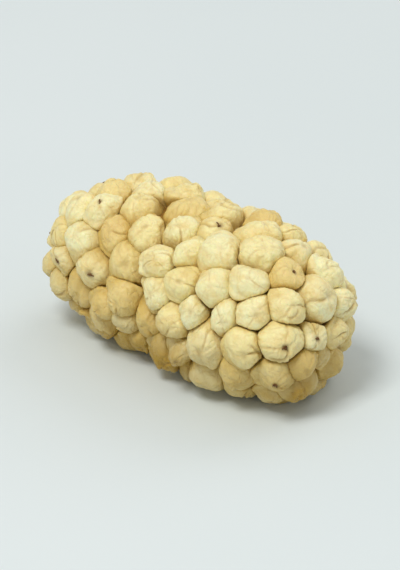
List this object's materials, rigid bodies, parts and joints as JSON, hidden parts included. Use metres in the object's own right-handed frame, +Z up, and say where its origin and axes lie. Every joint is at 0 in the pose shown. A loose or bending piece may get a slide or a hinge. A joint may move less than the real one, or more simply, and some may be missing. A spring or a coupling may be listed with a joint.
{
  "type": "dried mulberry",
  "caption": "One dried white mulberry lying on its side: plump drupelets packed round an oval body, with the pit that its stalk came out of.",
  "frame": {"origin": "middle of the underside of the fruit's box, on the surface that it rests on", "axes": "+X along the fruit from the stalk's pit to its tip, +Y to its left seen from the pit, +Z up from the surface that it rests on"},
  "size_m": [0.0228, 0.0116, 0.0108],
  "materials": {
    "mulberry_flesh": "matt dried fruit skin, cream to straw, with tan grooves and small dark brown specks at the tips of many drupelets"
  },
  "bodies": {
    "root": {"fruit": "mulberry_flesh"}
  },
  "joints": []
}
